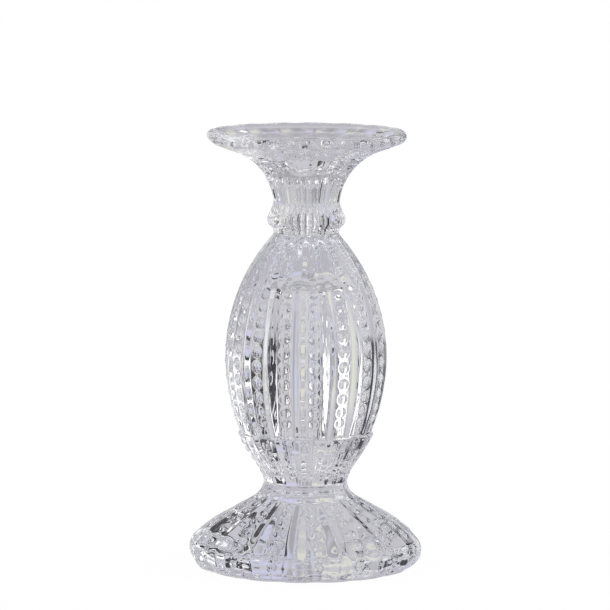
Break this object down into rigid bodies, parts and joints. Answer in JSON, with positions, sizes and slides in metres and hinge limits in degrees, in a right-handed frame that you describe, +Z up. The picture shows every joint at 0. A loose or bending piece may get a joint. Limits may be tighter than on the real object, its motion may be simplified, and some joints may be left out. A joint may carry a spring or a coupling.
{
  "type": "glass candlestick",
  "caption": "Clear pressed-glass candlestick: a beaded egg-shaped stem with a blind bore on a spreading foot, with a wide dished plate for a pillar candle and a central socket for a taper.",
  "frame": {"origin": "centre of the ring that the foot stands on", "axes": "+Z up along the axis of revolution, towards the plate; -Y is the front, and the middle of a beaded strip faces it"},
  "size_m": [0.1096, 0.1096, 0.206],
  "materials": {
    "foot": "clear pressed glass, gloss",
    "foot_bond": "clear adhesive",
    "body": "clear pressed glass, gloss",
    "cup_bond": "clear adhesive",
    "candle_cup": "clear pressed glass, gloss"
  },
  "bodies": {
    "root": {"foot": "foot", "foot_bond": "foot_bond", "body": "body", "cup_bond": "cup_bond", "candle_cup": "candle_cup"}
  },
  "joints": []
}
